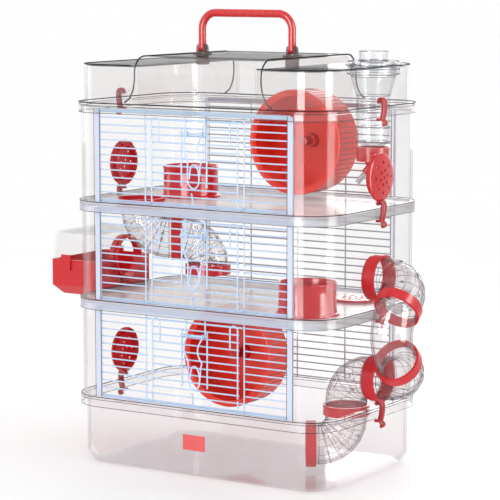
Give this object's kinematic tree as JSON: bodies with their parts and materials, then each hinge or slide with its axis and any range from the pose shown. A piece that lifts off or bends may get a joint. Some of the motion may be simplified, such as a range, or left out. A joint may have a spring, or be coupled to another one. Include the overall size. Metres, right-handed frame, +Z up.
{
  "type": "hamster cage",
  "caption": "Three-storey clear hamster cage with wire fronts, two floors, wheels, bowls, climbing tubes, nest box, drinking bottle and a folding carrying handle.",
  "frame": {"origin": "centre of the tray's underside, where the cage stands", "axes": "+X to the right seen from the front, +Y to the back, +Z up; the doors are on the -Y side"},
  "size_m": [0.5587, 0.273, 0.603],
  "materials": {
    "clear": "gloss",
    "hood_clear": "gloss",
    "tube_clear": "gloss",
    "floor": "satin",
    "red": "gloss",
    "wheel_red": "gloss",
    "clip_red": "gloss",
    "handle_red": "gloss",
    "wire": "satin",
    "steel": "satin"
  },
  "bodies": {
    "cage": {"tray": "clear", "storey1_wall_left": "clear", "storey1_wall_right": "clear", "storey2_wall_left": "clear", "storey2_wall_right": "clear", "storey3_wall_left": "clear", "storey3_wall_right": "clear", "floor_lower": "floor", "floor_upper": "floor", "hood": "hood_clear", "handle_feet": "handle_red", "grille_front_1": "wire", "grille_front_2": "wire", "grille_front_3": "wire", "grilles_back": "wire", "wheel_brackets": "clear", "wall_plugs": "red", "floor_plug": "red", "floor_ring": "red", "inner_elbow_top": "tube_clear", "inner_ring": "red", "inner_elbow_bottom": "tube_clear", "inner_end_ring": "red", "wall_collars": "red", "outer_elbow_top": "tube_clear", "outer_rings": "red", "outer_elbow_middle": "tube_clear", "outer_elbow_bottom": "tube_clear", "tray_elbow_top": "tube_clear", "tray_ring": "red", "nest_base": "red", "bottle_holder": "hood_clear", "front_label": "red", "rim_blocks": "clear"},
    "handle": {"handle": "handle_red"},
    "clip_left_0": {"clip_left_0": "clip_red"},
    "clip_left_1": {"clip_left_1": "clip_red"},
    "clip_left_2": {"clip_left_2": "clip_red"},
    "clip_left_3": {"clip_left_3": "clip_red"},
    "clip_right_0": {"clip_right_0": "clip_red"},
    "clip_right_1": {"clip_right_1": "clip_red"},
    "clip_right_2": {"clip_right_2": "clip_red"},
    "clip_right_3": {"clip_right_3": "clip_red"},
    "door_1": {"door_1": "wire"},
    "latch_1": {"latch_1": "wire"},
    "door_2": {"door_2": "wire"},
    "latch_2": {"latch_2": "wire"},
    "door_3": {"door_3": "wire"},
    "latch_3": {"latch_3": "wire"},
    "wheel_upper": {"wheel_upper": "wheel_red"},
    "wheel_lower": {"wheel_lower": "wheel_red"},
    "bowl_upper": {"bowl_upper": "red"},
    "bowl_middle": {"bowl_middle": "red"},
    "tray_tube_end": {"tray_elbow_bottom": "tube_clear", "tray_end_ring": "red"},
    "nest_lid": {"nest_lid": "clear"},
    "bottle": {"bottle_body": "clear", "bottle_lid": "clear", "bottle_nozzle": "red", "bottle_spout": "steel"}
  },
  "joints": [
    {"name": "handle_fold", "type": "hinge", "parent": "cage", "child": "handle", "pos_m": [0, 0, 0.551], "axis": [1, 0, 0], "range_deg": [-88, 88]},
    {"name": "clip_left_0_swing", "type": "hinge", "parent": "cage", "child": "clip_left_0", "pos_m": [-0.2035, 0, 0.0975], "axis": [0, 1, 0], "range_deg": [0, 80]},
    {"name": "clip_left_1_swing", "type": "hinge", "parent": "cage", "child": "clip_left_1", "pos_m": [-0.2035, 0, 0.2275], "axis": [0, 1, 0], "range_deg": [0, 20]},
    {"name": "clip_left_2_swing", "type": "hinge", "parent": "cage", "child": "clip_left_2", "pos_m": [-0.2035, 0, 0.3575], "axis": [0, 1, 0], "range_deg": [0, 80]},
    {"name": "clip_left_3_swing", "type": "hinge", "parent": "cage", "child": "clip_left_3", "pos_m": [-0.2035, 0, 0.4875], "axis": [0, 1, 0], "range_deg": [0, 80]},
    {"name": "clip_right_0_swing", "type": "hinge", "parent": "cage", "child": "clip_right_0", "pos_m": [0.2035, 0, 0.0975], "axis": [0, -1, 0], "range_deg": [0, 80]},
    {"name": "clip_right_1_swing", "type": "hinge", "parent": "cage", "child": "clip_right_1", "pos_m": [0.2035, 0, 0.2275], "axis": [0, -1, 0], "range_deg": [0, 60]},
    {"name": "clip_right_2_swing", "type": "hinge", "parent": "cage", "child": "clip_right_2", "pos_m": [0.2035, 0, 0.3575], "axis": [0, -1, 0], "range_deg": [0, 80]},
    {"name": "clip_right_3_swing", "type": "hinge", "parent": "cage", "child": "clip_right_3", "pos_m": [0.2035, 0, 0.4875], "axis": [0, -1, 0], "range_deg": [0, 80]},
    {"name": "door_1_hinge", "type": "hinge", "parent": "cage", "child": "door_1", "pos_m": [0, -0.13, 0.204], "axis": [-1, 0, 0], "range_deg": [0, 100]},
    {"name": "latch_1_hinge", "type": "hinge", "parent": "door_1", "child": "latch_1", "pos_m": [0, -0.1352, 0.188], "axis": [-1, 0, 0], "range_deg": [0, 80]},
    {"name": "door_2_hinge", "type": "hinge", "parent": "cage", "child": "door_2", "pos_m": [0, -0.13, 0.334], "axis": [-1, 0, 0], "range_deg": [0, 100]},
    {"name": "latch_2_hinge", "type": "hinge", "parent": "door_2", "child": "latch_2", "pos_m": [0, -0.1352, 0.318], "axis": [-1, 0, 0], "range_deg": [0, 80]},
    {"name": "door_3_hinge", "type": "hinge", "parent": "cage", "child": "door_3", "pos_m": [0, -0.13, 0.464], "axis": [-1, 0, 0], "range_deg": [0, 100]},
    {"name": "latch_3_hinge", "type": "hinge", "parent": "door_3", "child": "latch_3", "pos_m": [0, -0.1352, 0.448], "axis": [-1, 0, 0], "range_deg": [0, 80]},
    {"name": "wheel_upper_spin", "type": "hinge", "parent": "cage", "child": "wheel_upper", "pos_m": [0.037, 0.06, 0.4255], "axis": [0, 1, 0], "continuous": true},
    {"name": "wheel_lower_spin", "type": "hinge", "parent": "cage", "child": "wheel_lower", "pos_m": [-0.072, 0.06, 0.125], "axis": [0, 1, 0], "continuous": true},
    {"name": "bowl_upper_lift", "type": "slide", "parent": "cage", "child": "bowl_upper", "axis": [0, 0, 1], "range_m": [0, 0.06]},
    {"name": "bowl_middle_lift", "type": "slide", "parent": "cage", "child": "bowl_middle", "axis": [0, 0, 1], "range_m": [0, 0.06]},
    {"name": "tray_tube_swivel", "type": "hinge", "parent": "cage", "child": "tray_tube_end", "pos_m": [0.154, 0, 0.086], "axis": [0, 0, 1], "range_deg": [-25, 50]},
    {"name": "nest_lid_lift", "type": "slide", "parent": "cage", "child": "nest_lid", "axis": [0, 0, 1], "range_m": [0, 0.026]},
    {"name": "bottle_lift", "type": "slide", "parent": "cage", "child": "bottle", "axis": [0, 0, 1], "range_m": [0, 0.12]}
  ]
}
